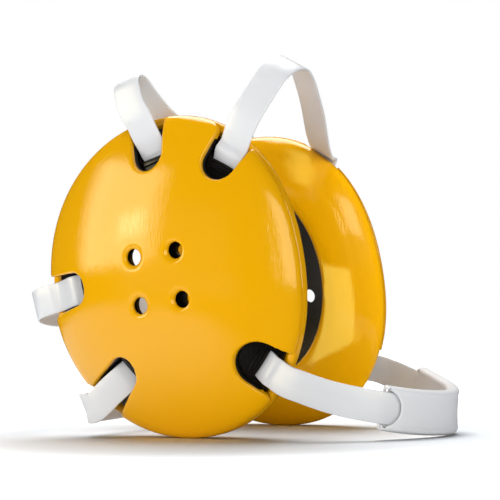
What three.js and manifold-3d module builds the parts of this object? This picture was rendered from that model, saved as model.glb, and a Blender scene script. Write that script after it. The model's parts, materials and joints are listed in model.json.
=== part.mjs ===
import * as THREE from 'three';
import { mergeVertices } from 'three/addons/utils/BufferGeometryUtils.js';
import Module from 'manifold-3d';

const wasm = await Module();
wasm.setup();

// Wrestling ear guard: two padded ear cups joined by four head straps and a padded chin strap.
// X runs from ear to ear with the wearer's right ear at -X, the face looks along -Y and +Z is up.
// The guard stands on the rims of both cups and on its chin pad, on a floor at Z = 0.
// Inside a cup, u runs forward, v runs up and w runs outward from the head. Lengths are in mm.

// Outline of an ear cup, in the plane of its rim
const CUP_HALF_LENGTH = 69;
const CUP_HALF_HEIGHT = 75;
const OUTLINE_POWER = 2.1;
const OUTLINE_EGG = -0.023;
const RIM_BOW = 2.5;

// Section of an ear cup: outer pad, stiff frame and inner pad lie on each other with a small gap
const DOME_HEIGHT = 22;
const DOME_POWER = 2.35;
const EDGE_RADIUS = 7;
const RIM_SIDE = 4;
const OUTER_PAD_THICKNESS = 5.5;
const FRAME_THICKNESS = 2.2;
const FRAME_INSET = 5.2;
const LAYER_GAP = 0.5;
const CUSHION_DEPTH = 19;

// Ear opening through the inner pad
const EAR_HALF_LENGTH = 37.5;
const EAR_HALF_HEIGHT = 48;
const EAR_FORWARD = 3;
const EAR_UP = 2.8;
const EAR_EDGE_ROUND = 4;

// Four vents through the outer pad and the frame, at the corners of a square
const VENT_PITCH = 22.5;
const VENT_FORWARD = 4;
const VENT_UP = 0.5;
const VENT_DIAMETER = 7.5;
const FRAME_VENT_DIAMETER = 6.9;

// Notches in the outer pad, with a strap slot and a raised bar in the frame under each
const NOTCH_WIDTH = 16;
const NOTCH_FLARE = THREE.MathUtils.degToRad(5);
const NOTCH_LIP_RADIUS = 4;
const SLOT_SETBACK = 9.4;
const SLOT_WIDTH = 6.4;
const BAR_WIDTH = 2.4;
const BAR_HEIGHT = 0.9;

// Straps of smooth coated webbing
const STRAP_WIDTH = 14.5;
const STRAP_THICKNESS = 1.2;
const STRAP_GAP = 0.6;
const STRAP_TAB = 8;
const TAB_GAP = 0.8;
const STRAP_RAISE = 3;

// Where the cups stand, and how each leans
const CUP_SPACING = 88;
const BACK_LEAN = THREE.MathUtils.degToRad(6);
const RIGHT_LEAN = THREE.MathUtils.degToRad(4);
const LEFT_LEAN = THREE.MathUtils.degToRad(-8);

// How far each strap stands out from the rims, and the chin pad on the chin strap
const FRONT_CROWN_RISE = 38;
const REAR_CROWN_RISE = 20;
const REAR_UPPER_REACH = 27;
const REAR_LOWER_REACH = 6;
const CHIN_REACH = 57.5;
const CHIN_PAD_HEIGHT = 20.4;
const CHIN_PAD_THICKNESS = 6.2;
const CHIN_PAD_SPAN = [0.3, 0.69];
const CHIN_PAD_MOUTH = 7.5;
const CHIN_PAD_CORNER = 2;
const CHIN_PAD_TILT = THREE.MathUtils.degToRad(18);

// Each notch: place of the centre of its round end, as shares of the cup's half length and
// half height, the direction in which it opens, in degrees up from straight forward, its width
// as a share of the common one, the share of it that the strap lies aside of its middle, and
// the degrees by which the strap is turned in it
const NOTCHES = {
  front_crown: { along: 0.56, up: 0.643, opens: 55, wide: 1, aside: 0, turn: 0 },
  rear_crown: { along: 0.04, up: 0.777, opens: 97, wide: 1, aside: 0, turn: 4 },
  rear_upper: { along: -0.7, up: 0.025, opens: 184, wide: 1, aside: 0, turn: 2 },
  rear_lower: { along: -0.377, up: -0.545, opens: 214, wide: 1, aside: 0, turn: 0 },
  chin: { along: 0.631, up: -0.594, opens: -42, wide: 1.29, aside: -0.06, turn: -2 },
};

// Shares of the dome's half width at which its three layers have rings of corners
const DOME_SHARES = [0.36, 0.63, 0.84, 1];
const RING_STEPS = 30;

// Free run of each head strap between the rims: the share of the way from the right rim to the
// left one, the share of the strap's rise, and the share of the strap width that it is moved aside
const FREE_RUNS = {
  front_crown: [
    [0.0, 0.24, 0], [0.035, 0.56, 0], [0.08, 0.83, 0], [0.16, 0.97, 0], [0.26, 1, 0],
    [0.36, 0.92, 0], [0.5, 0.74, 0], [0.65, 0.53, 0], [0.8, 0.28, 0], [0.9, 0.12, 0],
  ],
  rear_crown: [
    [-0.005, 0.35, 0.1], [0, 0.7, 0.12], [0.015, 0.96, 0.12], [0.05, 1.06, 0.1], [0.1, 0.98, 0.1],
    [0.16, 0.66, 0.1], [0.24, 0.2, 0], [0.42, -0.1, 0], [0.62, -0.1, 0], [0.84, 0.1, 0],
  ],
  rear_upper: [
    [0.02, 0.36, 0], [0.12, 0.64, 0], [0.3, 0.9, 0], [0.5, 1, 0], [0.7, 0.9, 0],
    [0.88, 0.64, 0], [0.98, 0.36, 0],
  ],
  rear_lower: [
    [0.01, 0.75, -0.24], [0.08, 1, -0.3], [0.3, 1, -0.3], [0.5, 1.05, -0.3], [0.7, 1, -0.3],
    [0.9, 1.6, -0.2], [0.98, 2.2, -0.1],
  ],
};

// Free run of the chin strap: share of the way between the rims, share of the chin reach
// forward of them, and the height of the strap's middle as a share of the chin pad's height
const CHIN_RUN = [
  [0.0, 0.12, 1.2], [0.05, 0.36, 0.94], [0.14, 0.66, 0.72], [0.29, 0.88, 0.56], [0.48, 1, 0.505],
  [0.66, 0.9, 0.56], [0.8, 0.66, 0.74], [0.93, 0.36, 1.0], [0.99, 0.14, 1.28],
];

const YELLOW = 0xf1b407;
const BLACK = 0x16130f;
const WHITE = 0xececec;

function finish(color, roughness) {
  return new THREE.MeshStandardMaterial({ color, roughness, metalness: 0 });
}

// Radius of the outline at an angle, as a share of its half length and half height
function outlineFactor(angle) {
  const lengthPart = Math.abs(Math.cos(angle)) ** OUTLINE_POWER;
  const heightPart = Math.abs(Math.sin(angle)) ** OUTLINE_POWER;
  const round = (lengthPart + heightPart) ** (-1 / OUTLINE_POWER);
  return round * (1 + OUTLINE_EGG * Math.cos(3 * angle));
}

function rimBow(v) {
  return RIM_BOW * (v / CUP_HALF_HEIGHT) ** 2;
}

// A point of a cup from its forward, upward and outward lengths
function cupPoint(u, v, w) {
  return new THREE.Vector3(w, -u, v);
}

function outlinePoint(angle, inset, share, w) {
  const factor = share * outlineFactor(angle);
  const u = (CUP_HALF_LENGTH - inset) * factor * Math.cos(angle);
  const v = (CUP_HALF_HEIGHT - inset) * factor * Math.sin(angle);
  return cupPoint(u, v, w + rimBow(v));
}

function outlineRing(inset, share, w) {
  const ring = [];
  for (let i = 0; i < RING_STEPS; i += 1) {
    ring.push(outlinePoint((2 * Math.PI * i) / RING_STEPS, inset, share, w));
  }
  return ring;
}

// Share of the way from the cup's middle to its outline, drawn in by an inset
function shareAt(u, v, inset) {
  const along = u / (CUP_HALF_LENGTH - inset);
  const up = v / (CUP_HALF_HEIGHT - inset);
  return Math.hypot(along, up) / outlineFactor(Math.atan2(up, along));
}

function domeHeight(share) {
  return EDGE_RADIUS + (DOME_HEIGHT - EDGE_RADIUS) * (1 - share ** DOME_POWER);
}

function surfaceHeight(u, v) {
  return domeHeight(shareAt(u, v, EDGE_RADIUS)) + rimBow(v);
}

// Rings of one face of a layer that lies a depth under the dome, from the middle outward
function domeRings(depth) {
  const rings = [[cupPoint(0, 0, domeHeight(0) - depth)]];
  for (const share of DOME_SHARES) {
    rings.push(outlineRing(EDGE_RADIUS, share, domeHeight(share) - depth));
  }
  return rings;
}

// Slope of the dome at the edge of its crowned part, in mm down for each mm outward
function edgeSlope() {
  const halfWidth = (CUP_HALF_LENGTH + CUP_HALF_HEIGHT) / 2 - EDGE_RADIUS;
  return ((DOME_HEIGHT - EDGE_RADIUS) * DOME_POWER) / halfWidth;
}

// A closed mesh through rings of corners: a ring of one corner is a pole, and without poles
// the last ring joins the first
function loft(rings) {
  const points = rings.flat();
  const starts = [];
  let start = 0;
  for (const ring of rings) {
    starts.push(start);
    start += ring.length;
  }
  const index = [];
  const joins = rings[0].length === 1 ? rings.length - 1 : rings.length;
  for (let i = 0; i < joins; i += 1) {
    const next = (i + 1) % rings.length;
    joinRings(index, starts[i], rings[i].length, starts[next], rings[next].length);
  }
  const geometry = new THREE.BufferGeometry().setFromPoints(points);
  geometry.setIndex(index);
  return facingOut(geometry);
}

function joinRings(index, startA, countA, startB, countB) {
  const count = Math.max(countA, countB);
  for (let i = 0; i < count; i += 1) {
    const next = (i + 1) % count;
    if (countA > 1) {
      index.push(startA + i, startA + next, startB + (countB > 1 ? i : 0));
    }
    if (countB > 1) {
      index.push(startB + i, startA + (countA > 1 ? next : 0), startB + next);
    }
  }
}

// Turns the faces of a closed mesh round where they point inward
function facingOut(geometry) {
  const position = geometry.getAttribute('position');
  const index = Array.from(geometry.getIndex().array);
  const corners = [new THREE.Vector3(), new THREE.Vector3(), new THREE.Vector3()];
  let volume = 0;
  for (let i = 0; i < index.length; i += 3) {
    corners.forEach((corner, j) => corner.fromBufferAttribute(position, index[i + j]));
    volume += corners[0].dot(corners[1].clone().cross(corners[2]));
  }
  if (volume < 0) {
    geometry.setIndex(index.reverse());
  }
  return geometry;
}

function solidOf(geometry) {
  const bare = geometry.clone();
  bare.deleteAttribute('normal');
  bare.deleteAttribute('uv');
  const merged = mergeVertices(bare, 1e-4);
  const vertProperties = new Float32Array(merged.getAttribute('position').array);
  const triVerts = new Uint32Array(merged.getIndex().array);
  return new wasm.Manifold(new wasm.Mesh({ numProp: 3, vertProperties, triVerts }));
}

function geometryOf(solid) {
  const mesh = solid.getMesh();
  const geometry = new THREE.BufferGeometry();
  geometry.setAttribute('position', new THREE.BufferAttribute(new Float32Array(mesh.vertProperties), 3));
  geometry.setIndex(Array.from(mesh.triVerts));
  return geometry;
}

// A box along three directions about a point
function turnedBox(centre, directions, sizes) {
  const box = new THREE.BoxGeometry(sizes[0], sizes[1], sizes[2]);
  const turn = new THREE.Matrix4().makeBasis(directions[0], directions[1], directions[2]);
  turn.setPosition(centre);
  return facingOut(box.applyMatrix4(turn));
}

// A notch's line over the dome: its direction, and the place of its slot
function notchLine(name) {
  const { along, up, opens, wide } = NOTCHES[name];
  const angle = THREE.MathUtils.degToRad(opens);
  const direction = new THREE.Vector2(Math.cos(angle), Math.sin(angle));
  const end = new THREE.Vector2(along * CUP_HALF_LENGTH, up * CUP_HALF_HEIGHT);
  const slot = end.clone().addScaledVector(direction, SLOT_SETBACK - NOTCH_WIDTH / 2);
  return { direction, end, slot, half: (wide * NOTCH_WIDTH) / 2 };
}

// The line that the strap takes through a notch
function strapLine(name) {
  const { aside, turn } = NOTCHES[name];
  const { direction, slot } = notchLine(name);
  slot.addScaledVector(new THREE.Vector2(-direction.y, direction.x), aside * NOTCH_WIDTH);
  direction.rotateAround(new THREE.Vector2(), THREE.MathUtils.degToRad(turn));
  return { direction, slot };
}

// Distance from a notch's slot to the outline drawn in by an inset, along the notch
function distanceToRim(line, inset) {
  let near = 0;
  let far = CUP_HALF_HEIGHT;
  for (let i = 0; i < 40; i += 1) {
    const middle = (near + far) / 2;
    const place = line.slot.clone().addScaledVector(line.direction, middle);
    if (shareAt(place.x, place.y, inset) < 1) {
      near = middle;
    } else {
      far = middle;
    }
  }
  return near;
}

// Length over which the dome's slope is measured
const SLOPE_STEP = 1;

// Directions of the dome at a place on a notch's line: along the notch, across it and outward
function domeDirections(line, distance) {
  const place = line.slot.clone().addScaledVector(line.direction, distance);
  const tangentTo = (direction) => {
    const step = direction.clone().multiplyScalar(SLOPE_STEP);
    const ahead = place.clone().add(step);
    const rise = surfaceHeight(ahead.x, ahead.y) - surfaceHeight(place.x, place.y);
    return cupPoint(step.x, step.y, rise).normalize();
  };
  const along = tangentTo(line.direction);
  const aside = tangentTo(new THREE.Vector2(-line.direction.y, line.direction.x));
  const outward = new THREE.Vector3().crossVectors(aside, along).normalize();
  const across = new THREE.Vector3().crossVectors(along, outward);
  return { along, across, outward, place };
}

// A point on a notch's line, a depth under the dome's surface and then moved along its normal
function notchPoint(line, distance, depth, lift) {
  const { outward, place } = domeDirections(line, distance);
  const point = cupPoint(place.x, place.y, surfaceHeight(place.x, place.y) - depth);
  return point.addScaledVector(outward, lift);
}

// Cutter of one notch: a round inner end, walls that flare to the mouth, and rounded lips
function notchCutter(name) {
  const line = notchLine(name);
  const half = line.half;
  const mouth = distanceToRim(line, 0) + SLOT_SETBACK - NOTCH_WIDTH / 2;
  const lipStart = mouth - NOTCH_LIP_RADIUS;
  const lipHalf = half + lipStart * Math.tan(NOTCH_FLARE);
  const shape = new THREE.Shape();
  shape.absarc(0, 0, half, Math.PI / 2, (3 * Math.PI) / 2, false);
  shape.lineTo(lipStart, -lipHalf);
  shape.absarc(lipStart, -lipHalf - NOTCH_LIP_RADIUS, NOTCH_LIP_RADIUS, Math.PI / 2, 0, true);
  shape.lineTo(mouth + NOTCH_WIDTH, -lipHalf - NOTCH_LIP_RADIUS);
  shape.lineTo(mouth + NOTCH_WIDTH, lipHalf + NOTCH_LIP_RADIUS);
  shape.lineTo(mouth, lipHalf + NOTCH_LIP_RADIUS);
  shape.absarc(lipStart, lipHalf + NOTCH_LIP_RADIUS, NOTCH_LIP_RADIUS, 0, -Math.PI / 2, true);
  const depth = 2 * DOME_HEIGHT;
  const prism = new THREE.ExtrudeGeometry(shape, { depth, bevelEnabled: false, curveSegments: 5 });
  prism.translate(0, 0, -depth / 2);
  const along = cupPoint(line.direction.x, line.direction.y, 0);
  const across = cupPoint(-line.direction.y, line.direction.x, 0);
  const turn = new THREE.Matrix4().makeBasis(along, across, cupPoint(0, 0, 1));
  turn.setPosition(cupPoint(line.end.x, line.end.y, 0));
  return facingOut(mergeVertices(stripped(prism.applyMatrix4(turn)), 1e-4));
}

function stripped(geometry) {
  geometry.deleteAttribute('normal');
  geometry.deleteAttribute('uv');
  return geometry;
}

function cutVents(solid, diameter) {
  let cut = solid;
  for (const i of [-0.5, 0.5]) {
    for (const j of [-0.5, 0.5]) {
      const vent = new THREE.CylinderGeometry(diameter / 2, diameter / 2, 2 * DOME_HEIGHT, 10);
      vent.rotateZ(Math.PI / 2);
      const place = cupPoint(VENT_FORWARD + i * VENT_PITCH, VENT_UP + j * VENT_PITCH, DOME_HEIGHT / 2);
      vent.translate(place.x, place.y, place.z);
      cut = cut.subtract(solidOf(vent));
    }
  }
  return cut;
}

// Domed outer pad: crowned face, rounded edge, a flat seam at the rim and the hollow under it
function outerPad() {
  const rings = domeRings(0);
  for (const degrees of [60, 30, 0]) {
    const angle = THREE.MathUtils.degToRad(degrees);
    const inset = EDGE_RADIUS * (1 - Math.cos(angle));
    rings.push(outlineRing(inset, 1, EDGE_RADIUS * Math.sin(angle)));
  }
  rings.push(outlineRing(FRAME_INSET - 2.5 * LAYER_GAP, 1, 0));
  rings.push(...domeRings(OUTER_PAD_THICKNESS).reverse());
  let solid = solidOf(loft(rings));
  for (const name of Object.keys(NOTCHES)) {
    solid = solid.subtract(solidOf(notchCutter(name)));
  }
  return geometryOf(cutVents(solid, VENT_DIAMETER));
}

// Stiff domed frame with vents, and a slot and a raised bar in each notch
function frame() {
  const top = OUTER_PAD_THICKNESS + LAYER_GAP;
  const drop = edgeSlope() * (EDGE_RADIUS - FRAME_INSET);
  const rings = domeRings(top);
  rings.push(outlineRing(FRAME_INSET, 1, EDGE_RADIUS - top - drop));
  rings.push(outlineRing(FRAME_INSET, 1, EDGE_RADIUS - top - drop - FRAME_THICKNESS));
  rings.push(...domeRings(top + FRAME_THICKNESS).reverse());
  let solid = solidOf(loft(rings));
  for (const name of Object.keys(NOTCHES)) {
    const line = strapLine(name);
    const { along, across, outward } = domeDirections(line, 0);
    const slotLength = STRAP_WIDTH + 2 * STRAP_GAP;
    const middle = notchPoint(line, 0, top, 0);
    const slot = turnedBox(middle, [along, across, outward], [SLOT_WIDTH, slotLength, 4 * FRAME_THICKNESS]);
    const barPlace = notchPoint(line, -(SLOT_WIDTH + BAR_WIDTH) / 2 - LAYER_GAP, top, 0);
    const barSize = [BAR_WIDTH, 0.8 * STRAP_WIDTH, 2 * BAR_HEIGHT];
    const bar = turnedBox(barPlace, [along, across, outward], barSize);
    solid = solid.add(solidOf(bar)).subtract(solidOf(slot));
  }
  return geometryOf(cutVents(solid, FRAME_VENT_DIAMETER));
}

// Cutter of the ear opening, which widens in a round towards the head
function earCutter() {
  const straight = CUSHION_DEPTH - EAR_EDGE_ROUND;
  const sections = [
    [2 * DOME_HEIGHT, 0],
    [-straight + EAR_EDGE_ROUND * 0.5, 0],
    [-straight - EAR_EDGE_ROUND * 0.35, 0.22],
    [-straight - EAR_EDGE_ROUND * 0.8, 0.9],
    [-straight - EAR_EDGE_ROUND * 1.1, 2.2],
  ];
  const rings = sections.map(([w, wider]) => {
    const ring = [];
    for (let i = 0; i < RING_STEPS; i += 1) {
      const angle = (2 * Math.PI * (i + 0.5)) / RING_STEPS;
      const u = EAR_FORWARD + (EAR_HALF_LENGTH + wider * EAR_EDGE_ROUND) * Math.cos(angle);
      const v = EAR_UP + (EAR_HALF_HEIGHT + wider * EAR_EDGE_ROUND) * Math.sin(angle);
      ring.push(cupPoint(u, v, w));
    }
    return ring;
  });
  const middle = (w) => [cupPoint(EAR_FORWARD, EAR_UP, w)];
  return loft([middle(sections[0][0]), ...rings, middle(sections[sections.length - 1][0])]);
}

// Thick ring-shaped inner pad: it bulges towards the head round the ear opening
function innerPad() {
  const top = OUTER_PAD_THICKNESS + FRAME_THICKNESS + 2 * LAYER_GAP;
  const drop = edgeSlope() * (EDGE_RADIUS - FRAME_INSET);
  const rings = domeRings(top);
  rings.push(outlineRing(FRAME_INSET - LAYER_GAP, 1, EDGE_RADIUS - top - drop));
  rings.push(outlineRing(FRAME_INSET - 3 * LAYER_GAP, 1, -LAYER_GAP));
  rings.push(outlineRing(0, 1, -LAYER_GAP));
  for (const degrees of [0, 30, 60]) {
    const angle = THREE.MathUtils.degToRad(degrees);
    const inset = EDGE_RADIUS * (1 - Math.cos(angle));
    rings.push(outlineRing(inset, 1, -RIM_SIDE - EDGE_RADIUS * Math.sin(angle)));
  }
  const rimFace = RIM_SIDE + EDGE_RADIUS;
  for (const [share, fullness] of [[1, 0], [0.88, 0.56], [0.76, 0.86], [0.62, 1]]) {
    rings.push(outlineRing(EDGE_RADIUS, share, -rimFace - (CUSHION_DEPTH - rimFace) * fullness));
  }
  rings.push([cupPoint(0, 0, -CUSHION_DEPTH)]);
  let solid = solidOf(loft(rings)).subtract(solidOf(earCutter()));
  for (const name of Object.keys(NOTCHES)) {
    const path = endPoints(name, 'outward', STRAP_TAB + STRAP_GAP).slice(0, 5);
    const across = domeDirections(strapLine(name), 0).across;
    const width = STRAP_WIDTH + 2 * STRAP_GAP;
    const pocket = band(sampled(path), () => across, width, STRAP_THICKNESS + 2 * STRAP_GAP);
    solid = solid.subtract(solidOf(pocket));
  }
  return geometryOf(solid);
}

// Middle line of a strap's end in a cup: a tab under the frame, up through the slot, over the
// frame's edge and the rim, and then straight on or folded over the rim towards the head, or,
// where the strap stands clear of the frame, raised from the slot on
function endPoints(name, exit, tab = STRAP_TAB) {
  const line = strapLine(name);
  const frameTop = OUTER_PAD_THICKNESS + LAYER_GAP;
  const frameBottom = frameTop + FRAME_THICKNESS;
  const off = STRAP_GAP + STRAP_THICKNESS / 2;
  const under = TAB_GAP + STRAP_THICKNESS / 2;
  const half = SLOT_WIDTH / 2 - STRAP_GAP;
  const frameEdge = distanceToRim(line, FRAME_INSET);
  const rim = distanceToRim(line, 0);
  const overRim = (beyond, w) => {
    const place = line.slot.clone().addScaledVector(line.direction, rim + beyond);
    return cupPoint(place.x, place.y, w + rimBow(place.y));
  };
  const points = [
    notchPoint(line, -half - tab, frameBottom, -under),
    notchPoint(line, -half - tab / 2, frameBottom, -under),
    notchPoint(line, -half, frameBottom, -under),
    notchPoint(line, 0, (frameTop + frameBottom) / 2, 0),
    notchPoint(line, half, frameTop, off),
  ];
  if (exit === 'raised') {
    const height = points[points.length - 1].x - rimBow(line.slot.y);
    points.push(overRim(-rim / 2, height + STRAP_RAISE / 2));
    points.push(overRim(0, height + STRAP_RAISE));
    return points;
  }
  points.push(notchPoint(line, frameEdge - LAYER_GAP, frameTop, off));
  points.push(overRim(-FRAME_INSET / 3, off));
  if (exit === 'outward') {
    points.push(overRim(STRAP_THICKNESS, off + STRAP_THICKNESS / 4));
  } else {
    points.push(overRim(0.75 * off, 0.55 * off));
    points.push(overRim(off + STRAP_GAP / 2, -1.2 * off));
    points.push(overRim(off + STRAP_GAP / 2, -RIM_SIDE));
  }
  return points;
}

// Samples of a smooth curve through points, two to each length between them
function sampled(points) {
  return new THREE.CatmullRomCurve3(points, false, 'centripetal').getPoints(2 * (points.length - 1));
}

// A flat band along samples, with a function of the share of its length that gives its width's way
function band(samples, widthAt, width, thickness) {
  return loftEnds(bandSections(samples, widthAt, rectangle(width, thickness)));
}

function rectangle(width, thickness) {
  const a = width / 2;
  const b = thickness / 2;
  return [[-a, -b], [a, -b], [a, b], [-a, b]];
}

// Share of a line's length at which each of its samples lies
function lengthShares(samples) {
  const lengths = [0];
  for (let i = 1; i < samples.length; i += 1) {
    lengths.push(lengths[i - 1] + samples[i].distanceTo(samples[i - 1]));
  }
  return lengths.map((length) => length / lengths[lengths.length - 1]);
}

function bandSections(samples, widthAt, profile) {
  const shares = lengthShares(samples);
  return samples.map((sample, i) => {
    const before = samples[Math.max(i - 1, 0)];
    const after = samples[Math.min(i + 1, samples.length - 1)];
    const tangent = after.clone().sub(before).normalize();
    const wide = widthAt(shares[i]).clone();
    wide.addScaledVector(tangent, -wide.dot(tangent)).normalize();
    const thick = new THREE.Vector3().crossVectors(tangent, wide);
    return profile.map(([a, b]) => sample.clone().addScaledVector(wide, a).addScaledVector(thick, b));
  });
}

// A closed mesh through sections, with a flat cap on the first and on the last
function loftEnds(sections) {
  const middleOf = (ring) => {
    const sum = ring.reduce((total, point) => total.add(point), new THREE.Vector3());
    return sum.divideScalar(ring.length);
  };
  return loft([[middleOf(sections[0])], ...sections, [middleOf(sections[sections.length - 1])]]);
}

// Turn and place of each cup: it leans back and to its side, and its rim stands on the floor
function cupMatrix(side, restHeight) {
  const lean = side === 'right' ? -RIGHT_LEAN : LEFT_LEAN;
  const turn = new THREE.Matrix4().makeRotationFromEuler(new THREE.Euler(-BACK_LEAN, lean, 0, 'YXZ'));
  const x = side === 'right' ? -CUP_SPACING / 2 : CUP_SPACING / 2;
  return turn.setPosition(x, 0, restHeight);
}

function mirrored(geometry, side) {
  if (side === 'left') {
    return geometry;
  }
  return facingOut(geometry.clone().scale(-1, 1, 1));
}

function lowestPoint(geometry, matrix) {
  const placed = geometry.clone().applyMatrix4(matrix);
  placed.computeBoundingBox();
  return placed.boundingBox.min.z;
}

const cupLayers = {
  outer_pad: [outerPad(), finish(YELLOW, 0.32)],
  frame: [frame(), finish(BLACK, 0.5)],
  inner_pad: [innerPad(), finish(YELLOW, 0.32)],
};

const cupPlaces = {};
for (const side of ['right', 'left']) {
  const shapes = Object.values(cupLayers).map(([geometry]) => mirrored(geometry, side));
  const lowest = Math.min(...shapes.map((shape) => lowestPoint(shape, cupMatrix(side, 0))));
  cupPlaces[side] = cupMatrix(side, -lowest);
}

// A cup's point or direction, in the frame of the whole guard
function placed(vector, side) {
  const x = side === 'right' ? -vector.x : vector.x;
  return new THREE.Vector3(x, vector.y, vector.z).applyMatrix4(cupPlaces[side]);
}

function turned(vector, side) {
  const x = side === 'right' ? -vector.x : vector.x;
  return new THREE.Vector3(x, vector.y, vector.z).transformDirection(cupPlaces[side]);
}

function strapEnds(name, exits) {
  const right = endPoints(name, exits[0]).map((point) => placed(point, 'right'));
  const left = endPoints(name, exits[1]).map((point) => placed(point, 'left'));
  return { right, left: left.reverse() };
}

// Direction of the strap's width from one cup to the other, by way of a middle direction
function widthWay(name, middle) {
  const across = domeDirections(strapLine(name), 0).across;
  const right = turned(across, 'right');
  const left = turned(across, 'left');
  const centre = middle ?? right.clone().add(left).normalize();
  return (share) => {
    const blend = THREE.MathUtils.smoothstep(Math.abs(share - 0.5), 0.2, 0.42);
    return centre.clone().lerp(share < 0.5 ? right : left, blend).normalize();
  };
}

// A head strap: both ends seated in their cups, and its free run given by its table
function headStrap(name, rise, exits, middleWay) {
  const { right, left } = strapEnds(name, exits);
  const rightRim = right[right.length - 1];
  const leftRim = left[0];
  const { along, across } = domeDirections(strapLine(name), 0);
  const outward = turned(along, 'right').add(turned(along, 'left')).setX(0).normalize();
  const aside = turned(across, 'right').add(turned(across, 'left')).setX(0).normalize();
  const run = FREE_RUNS[name].map(([share, lift, shift]) => {
    const point = rightRim.clone().lerp(leftRim, share);
    point.addScaledVector(outward, lift * rise);
    return point.addScaledVector(aside, shift * STRAP_WIDTH);
  });
  const samples = sampled([...right, ...run, ...left]);
  return band(samples, widthWay(name, middleWay), STRAP_WIDTH, STRAP_THICKNESS);
}

function chinSamples(drop) {
  const { right, left } = strapEnds('chin', ['outward', 'outward']);
  const rightRim = right[right.length - 1];
  const leftRim = left[0];
  const run = CHIN_RUN.map(([share, reach, height]) => {
    const point = rightRim.clone().lerp(leftRim, share);
    point.y -= reach * CHIN_REACH;
    point.z = height * CHIN_PAD_HEIGHT - drop;
    return point;
  });
  return sampled([...right, ...run, ...left]);
}

const chinWay = widthWay('chin', new THREE.Vector3(0, -Math.sin(CHIN_PAD_TILT), Math.cos(CHIN_PAD_TILT)));

function chinStrap(line) {
  return band(line, chinWay, STRAP_WIDTH, STRAP_THICKNESS);
}

function chamfered(width, thickness, corner) {
  const a = width / 2;
  const b = thickness / 2;
  const c = Math.min(corner, 0.9 * b);
  return [
    [-a, -b + c], [-a + c, -b], [a - c, -b], [a, -b + c],
    [a, b - c], [a - c, b], [-a + c, b], [-a, b - c],
  ];
}

// Chin pad: a moulded sleeve round the front of the chin strap, with a hollow mouth at each end
function chinPad(chinLine) {
  const shares = lengthShares(chinLine);
  const first = shares.findIndex((share) => share > CHIN_PAD_SPAN[0]);
  const last = shares.findIndex((share) => share > CHIN_PAD_SPAN[1]);
  const way = (from, to) => (share) => chinWay(THREE.MathUtils.lerp(shares[from], shares[to], share));
  const outer = chamfered(CHIN_PAD_HEIGHT, CHIN_PAD_THICKNESS, CHIN_PAD_CORNER);
  const tunnel = rectangle(STRAP_WIDTH + 2 * STRAP_GAP, STRAP_THICKNESS + 2 * STRAP_GAP);
  const body = bandSections(chinLine.slice(first, last + 1), way(first, last), outer);
  const bore = bandSections(chinLine.slice(first - 1, last + 2), way(first - 1, last + 1), tunnel);
  let solid = solidOf(loftEnds(body)).subtract(solidOf(loftEnds(bore)));
  for (const [end, next] of [[first, first + 1], [last, last - 1]]) {
    const along = chinLine[next].clone().sub(chinLine[end]).normalize();
    const up = new THREE.Vector3(0, 0, 1);
    const out = new THREE.Vector3().crossVectors(along, up).normalize();
    if (out.y > 0) {
      out.negate();
    }
    const mouth = new THREE.CylinderGeometry(1, 1, CHIN_PAD_THICKNESS, 16);
    const turn = new THREE.Matrix4().makeBasis(along, out, new THREE.Vector3().crossVectors(along, out));
    turn.setPosition(chinLine[end].clone().addScaledVector(out, CHIN_PAD_THICKNESS / 2));
    mouth.scale(CHIN_PAD_MOUTH, 1, STRAP_WIDTH / 2);
    solid = solid.subtract(solidOf(facingOut(mouth.applyMatrix4(turn))));
  }
  return geometryOf(solid);
}

// The chin strap's free run is lowered until the chin pad rests on the floor
const chinDrop = lowestPoint(chinPad(chinSamples(0)), new THREE.Matrix4());
const chinLine = chinSamples(chinDrop);

const earGuard = new THREE.Group();

function addMesh(name, geometry, material, parent) {
  const mesh = new THREE.Mesh(geometry, material);
  mesh.name = name;
  parent.add(mesh);
}

for (const side of ['right', 'left']) {
  const cup = new THREE.Group();
  cup.applyMatrix4(cupPlaces[side]);
  for (const [layer, [geometry, material]] of Object.entries(cupLayers)) {
    addMesh(`${side}_${layer}`, mirrored(geometry, side), material, cup);
  }
  earGuard.add(cup);
}

const strapFinish = finish(WHITE, 0.4);
const frontCrown = headStrap('front_crown', FRONT_CROWN_RISE, ['outward', 'over']);
const rearCrown = headStrap('rear_crown', REAR_CROWN_RISE, ['raised', 'over']);
const rearUpper = headStrap('rear_upper', REAR_UPPER_REACH, ['outward', 'outward']);
const napeWay = new THREE.Vector3(0, -0.2, -1);
const rearLower = headStrap('rear_lower', REAR_LOWER_REACH, ['raised', 'raised'], napeWay);
addMesh('front_crown_strap', frontCrown, strapFinish, earGuard);
addMesh('rear_crown_strap', rearCrown, strapFinish, earGuard);
addMesh('rear_upper_strap', rearUpper, strapFinish, earGuard);
addMesh('rear_lower_strap', rearLower, strapFinish, earGuard);
addMesh('chin_strap', chinStrap(chinLine), strapFinish, earGuard);
addMesh('chin_pad', chinPad(chinLine), finish(WHITE, 0.5), earGuard);

// The origin is on the floor, under the middle of the whole guard
const extent = new THREE.Box3().setFromObject(earGuard, true);
const middle = extent.getCenter(new THREE.Vector3());
earGuard.position.set(-middle.x, -middle.y, -extent.min.z);

export default earGuard;
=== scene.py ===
"""Looks of a wrestling ear guard: glossy padded ear cups, white straps and a moulded chin pad."""
import json
import math

import bmesh
import bpy
from bpy.props import FloatProperty, FloatVectorProperty, IntProperty, PointerProperty
from mathutils import Matrix, Vector

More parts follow.
